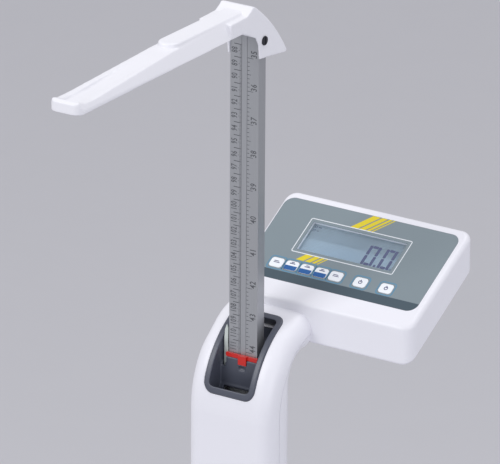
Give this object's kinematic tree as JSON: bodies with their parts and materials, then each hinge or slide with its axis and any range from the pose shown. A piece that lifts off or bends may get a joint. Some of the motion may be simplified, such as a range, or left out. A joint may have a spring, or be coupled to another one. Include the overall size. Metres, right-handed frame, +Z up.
{
  "type": "digital column scale with height rod",
  "caption": "Digital personal weighing scale on a column, with a tilted display housing and a sliding flat height rod that carries a fold-down head arm.",
  "frame": {"origin": "on the floor, under the middle of the whole scale's box", "axes": "+Z up, -Y towards the front edge of the platform, where the head arm points, +X to the right of a person who faces the display"},
  "size_m": [0.365, 0.5328, 1.2194],
  "materials": {
    "frame_steel": "black powder coat on pressed steel",
    "platform_shell": "fine spark-textured white",
    "mat_rubber": "ribbed anti-slip rubber",
    "level_body": "satin black",
    "level_glass": "clear, tinted by yellow-green fluid",
    "screw_steel": "bright zinc",
    "circuit_board": "green solder mask",
    "wheel_rubber": "smooth hard rubber",
    "axle_steel": "bright zinc",
    "white_shell": "satin white moulding with a cool cast",
    "column_paint": "satin white powder coat",
    "cable_jacket": "smooth grey PVC",
    "dark_bezel": "satin slate grey",
    "pointer_red": "bright red",
    "spring_steel": "bright spring steel",
    "guide_nylon": "natural nylon",
    "rod_aluminium": "satin anodised, printed scale",
    "pin_steel": "blackened steel",
    "arm_plastic": "satin white moulding",
    "display_base": "fine textured light grey",
    "panel_foil": "fine matt polyester foil",
    "window_clear": "clear polycarbonate",
    "lcd_glass": "blue-grey liquid crystal",
    "dome_silicone": "translucent silicone",
    "key_white": "satin white",
    "key_blue": "satin white with a blue lower half",
    "battery_tray": "natural light grey",
    "battery_can": "printed steel can",
    "inlet_black": "black",
    "cell_aluminium": "machined",
    "foot_steel": "bright zinc",
    "foot_rubber": "matt black rubber"
  },
  "bodies": {
    "scale": {"base_frame": "frame_steel", "platform_cover": "platform_shell", "platform_mat": "mat_rubber", "rear_foot_cover": "platform_shell", "bubble_level": "level_body", "bubble_level_lens": "level_glass", "load_cell_screws": "screw_steel", "junction_board": "circuit_board", "wheel_axle": "axle_steel", "axle_clips": "axle_steel", "column_front_cover": "white_shell", "column_rear_profile": "column_paint", "column_socket": "frame_steel", "socket_screws": "screw_steel", "signal_cable": "cable_jacket", "guide_bezel": "dark_bezel", "reading_pointer": "pointer_red", "brake_spring": "spring_steel", "rod_guide": "guide_nylon", "display_top_shell": "white_shell", "display_base_shell": "display_base", "membrane_foil": "panel_foil", "display_window": "window_clear", "lcd_module": "lcd_glass", "main_board": "circuit_board", "key_dome_sheet": "dome_silicone", "battery_tray": "battery_tray", "battery_cells": "battery_can", "power_inlet": "inlet_black", "housing_screws": "screw_steel", "mount_screws": "screw_steel", "load_cell_front_left": "cell_aluminium", "load_cell_front_right": "cell_aluminium", "load_cell_rear_left": "cell_aluminium", "load_cell_rear_right": "cell_aluminium"},
    "height_rod_body": {"height_rod": "rod_aluminium", "rod_end_plug": "guide_nylon", "pivot_bush": "guide_nylon", "arm_detent_spring": "spring_steel"},
    "measuring_arm_body": {"measuring_arm": "arm_plastic", "pivot_pin": "pin_steel"},
    "battery_cover_body": {"battery_cover": "display_base"},
    "wheel_left_body": {"wheel_left": "wheel_rubber"},
    "wheel_right_body": {"wheel_right": "wheel_rubber"},
    "foot_front_left": {"foot_stem_front_left": "foot_steel", "foot_pad_front_left": "foot_rubber"},
    "foot_front_right": {"foot_stem_front_right": "foot_steel", "foot_pad_front_right": "foot_rubber"},
    "foot_rear_left": {"foot_stem_rear_left": "foot_steel", "foot_pad_rear_left": "foot_rubber"},
    "foot_rear_right": {"foot_stem_rear_right": "foot_steel", "foot_pad_rear_right": "foot_rubber"},
    "key_1_body": {"key_1": "key_white"},
    "key_2_body": {"key_2": "key_blue"},
    "key_3_body": {"key_3": "key_blue"},
    "key_4_body": {"key_4": "key_blue"},
    "key_5_body": {"key_5": "key_white"},
    "key_6_body": {"key_6": "key_white"},
    "key_7_body": {"key_7": "key_white"}
  },
  "joints": [
    {"name": "rod_slide", "type": "slide", "parent": "scale", "child": "height_rod_body", "axis": [0, 0, 1], "range_m": [0, 0.79]},
    {"name": "arm_fold", "type": "hinge", "parent": "height_rod_body", "child": "measuring_arm_body", "pos_m": [0, 0.14805, 1.1904], "axis": [1, 0, 0], "range_deg": [0, 90]},
    {"name": "battery_cover_off", "type": "slide", "parent": "scale", "child": "battery_cover_body", "axis": [0, 0.503, -0.8643], "range_m": [0, 0.03]},
    {"name": "wheel_left_spin", "type": "hinge", "parent": "scale", "child": "wheel_left_body", "pos_m": [0, 0.16555, 0.033], "axis": [1, 0, 0], "continuous": true},
    {"name": "wheel_right_spin", "type": "hinge", "parent": "scale", "child": "wheel_right_body", "pos_m": [0, 0.16555, 0.033], "axis": [1, 0, 0], "continuous": true},
    {"name": "foot_front_left_screw", "type": "slide", "parent": "scale", "child": "foot_front_left", "axis": [0, 0, 1], "range_m": [0, 0.006]},
    {"name": "foot_front_right_screw", "type": "slide", "parent": "scale", "child": "foot_front_right", "axis": [0, 0, 1], "range_m": [0, 0.006]},
    {"name": "foot_rear_left_screw", "type": "slide", "parent": "scale", "child": "foot_rear_left", "axis": [0, 0, 1], "range_m": [0, 0.006]},
    {"name": "foot_rear_right_screw", "type": "slide", "parent": "scale", "child": "foot_rear_right", "axis": [0, 0, 1], "range_m": [0, 0.006]},
    {"name": "key_1_press", "type": "slide", "parent": "scale", "child": "key_1_body", "axis": [0, 0.503, -0.8643], "range_m": [0, 0.0005], "stiffness_N_per_m": 2000},
    {"name": "key_2_press", "type": "slide", "parent": "scale", "child": "key_2_body", "axis": [0, 0.503, -0.8643], "range_m": [0, 0.0005], "stiffness_N_per_m": 2000},
    {"name": "key_3_press", "type": "slide", "parent": "scale", "child": "key_3_body", "axis": [0, 0.503, -0.8643], "range_m": [0, 0.0005], "stiffness_N_per_m": 2000},
    {"name": "key_4_press", "type": "slide", "parent": "scale", "child": "key_4_body", "axis": [0, 0.503, -0.8643], "range_m": [0, 0.0005], "stiffness_N_per_m": 2000},
    {"name": "key_5_press", "type": "slide", "parent": "scale", "child": "key_5_body", "axis": [0, 0.503, -0.8643], "range_m": [0, 0.0005], "stiffness_N_per_m": 2000},
    {"name": "key_6_press", "type": "slide", "parent": "scale", "child": "key_6_body", "axis": [0, 0.503, -0.8643], "range_m": [0, 0.0005], "stiffness_N_per_m": 2000},
    {"name": "key_7_press", "type": "slide", "parent": "scale", "child": "key_7_body", "axis": [0, 0.503, -0.8643], "range_m": [0, 0.0005], "stiffness_N_per_m": 2000}
  ]
}
